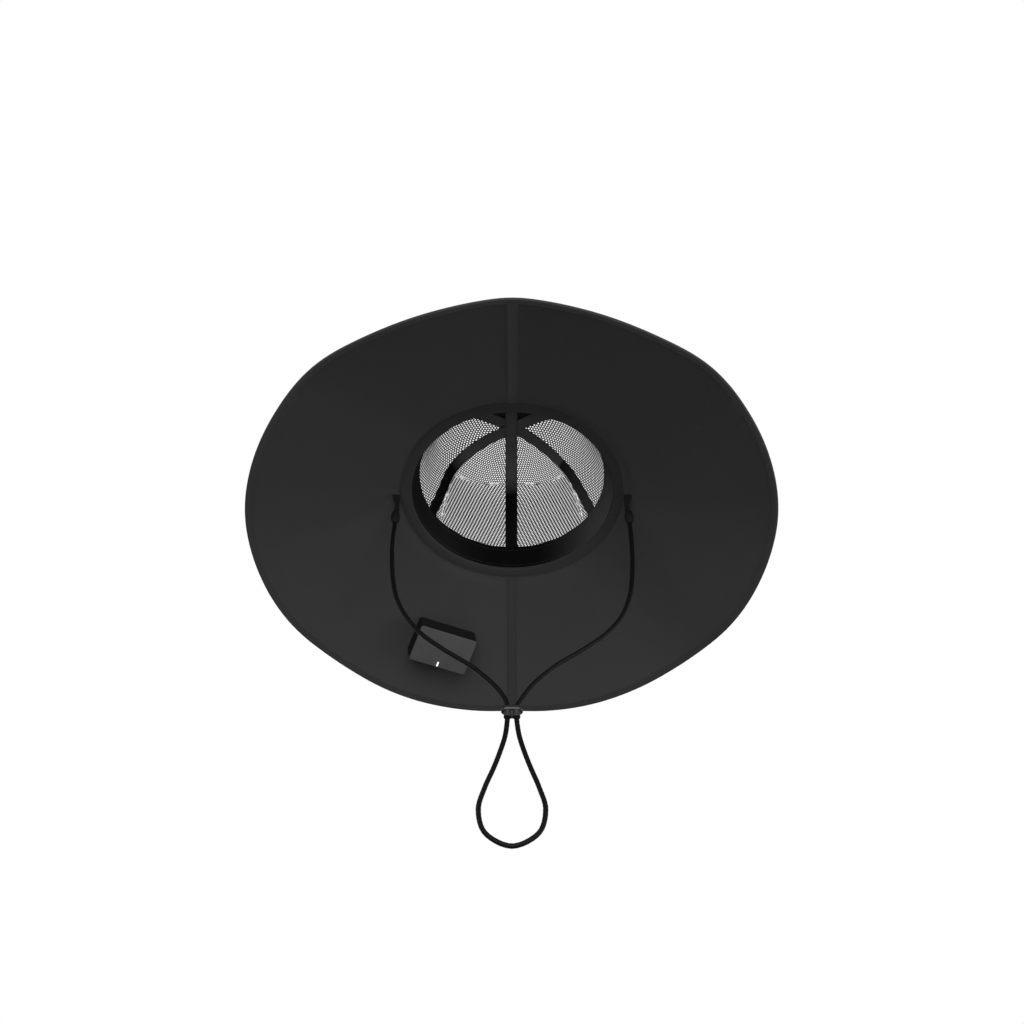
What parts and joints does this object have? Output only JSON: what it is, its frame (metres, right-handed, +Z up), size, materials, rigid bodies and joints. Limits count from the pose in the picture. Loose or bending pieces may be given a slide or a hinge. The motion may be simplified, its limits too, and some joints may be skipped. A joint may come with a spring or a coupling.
{
  "type": "solar charging bucket hat",
  "caption": "Wide-brimmed sun hat with a faceted brim that carries solar panels, a net crown, a flat power box under the brim and a chin cord with a slider.",
  "frame": {"origin": "centre of the head opening, at the brim's underside, where the hat sits on a head", "axes": "+Z up into the crown, -Y to the front of the hat, +X to the side of the hat that has no power box"},
  "size_m": [0.47, 0.47, 0.5137],
  "materials": {
    "brim_cloth": "stiff black woven cloth, matt",
    "collar_cloth": "black woven cloth, matt",
    "panel_laminate": "dark blue-black laminated cells under a clear film",
    "crown_cloth": "black woven cloth, matt",
    "crown_net": "black knitted net, open all over",
    "seam_tape": "black twill tape",
    "band_cloth": "black soft band cloth",
    "box_plastic": "dark grey moulded, fine grain",
    "light_plastic": "white, clear",
    "tab_webbing": "black narrow webbing",
    "cord_end_rubber": "black moulded, satin",
    "toggle_plastic": "black moulded, glossy",
    "cord_braid": "black braided, smooth"
  },
  "bodies": {
    "root": {"brim": "brim_cloth", "brim_collar": "collar_cloth", "solar_panel_1": "panel_laminate", "solar_panel_2": "panel_laminate", "solar_panel_3": "panel_laminate", "solar_panel_4": "panel_laminate", "solar_panel_5": "panel_laminate", "solar_panel_6": "panel_laminate", "solar_panel_7": "panel_laminate", "solar_panel_8": "panel_laminate", "crown_panel_1": "crown_cloth", "crown_panel_2": "crown_net", "crown_panel_3": "crown_net", "crown_panel_4": "crown_net", "crown_panel_5": "crown_net", "crown_panel_6": "crown_cloth", "crown_tape_1": "seam_tape", "crown_tape_2": "seam_tape", "crown_tape_3": "seam_tape", "sweatband": "band_cloth", "power_box": "box_plastic", "power_box_indicator": "light_plastic", "cord_tab_left": "tab_webbing", "cord_tab_right": "tab_webbing", "cord_end_left": "cord_end_rubber", "cord_end_right": "cord_end_rubber", "chin_toggle": "toggle_plastic", "chin_cord": "cord_braid"}
  },
  "joints": []
}
